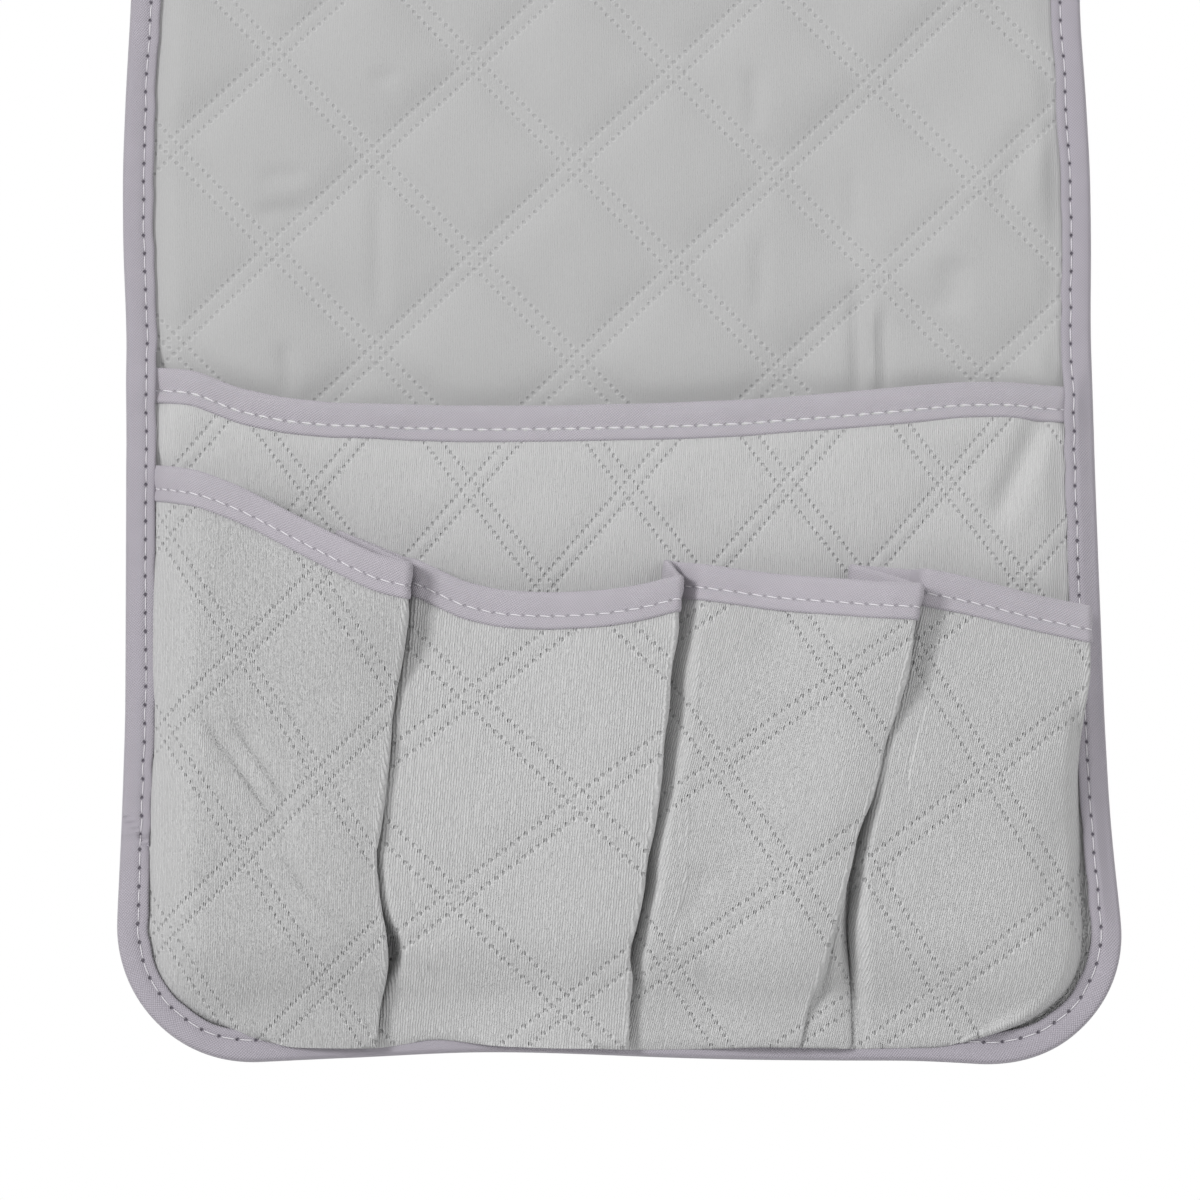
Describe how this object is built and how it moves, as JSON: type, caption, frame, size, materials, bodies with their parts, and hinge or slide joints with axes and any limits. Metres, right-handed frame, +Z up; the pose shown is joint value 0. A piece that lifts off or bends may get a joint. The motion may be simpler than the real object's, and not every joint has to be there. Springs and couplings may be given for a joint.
{
  "type": "armrest organizer",
  "caption": "Quilted grey cloth organizer that drapes over the arm of a sofa, with a wide pocket behind a pleated row of narrow pockets, all edged in lavender-grey tape",
  "frame": {"origin": "middle of the lining's underside, where it rests on top of the arm", "axes": "X runs along the arm, -Y is the side with the pockets, +Z is up"},
  "size_m": [0.2716, 0.2391, 0.3557],
  "materials": {
    "face_cloth": "matte crinkled weave, quilted with welded dots",
    "tape_cloth": "satin bias tape",
    "lining_cloth": "matte weave with grip dots"
  },
  "bodies": {
    "saddle": {"saddle_quilt": "face_cloth", "saddle_lining": "lining_cloth", "saddle_binding_left": "tape_cloth", "saddle_binding_right": "tape_cloth"},
    "front_panel": {"front_quilt": "face_cloth", "front_lining": "lining_cloth", "front_binding": "tape_cloth", "wide_pocket_quilt": "face_cloth", "wide_pocket_tape": "tape_cloth", "pocket_1_front": "face_cloth", "pocket_1_tape": "tape_cloth", "pocket_1_pleat": "face_cloth", "pocket_1_pleat_tape": "tape_cloth", "pocket_2_front": "face_cloth", "pocket_2_tape": "tape_cloth", "pocket_2_pleat": "face_cloth", "pocket_2_pleat_tape": "tape_cloth", "pocket_3_front": "face_cloth", "pocket_3_tape": "tape_cloth", "pocket_3_pleat": "face_cloth", "pocket_3_pleat_tape": "tape_cloth", "pocket_4_front": "face_cloth", "pocket_4_tape": "tape_cloth", "pocket_4_pleat": "face_cloth", "pocket_4_pleat_tape": "tape_cloth", "strip_hem": "face_cloth"},
    "tail": {"tail_quilt": "face_cloth", "tail_lining": "lining_cloth", "tail_binding": "tape_cloth"}
  },
  "joints": [
    {"name": "front_fold", "type": "hinge", "parent": "saddle", "child": "front_panel", "pos_m": [0, -0.09485, -0.00515], "axis": [-1, 0, 0], "range_deg": [0, 90]},
    {"name": "tail_fold", "type": "hinge", "parent": "saddle", "child": "tail", "pos_m": [0, 0.09485, -0.00515], "axis": [1, 0, 0], "range_deg": [0, 90]}
  ]
}
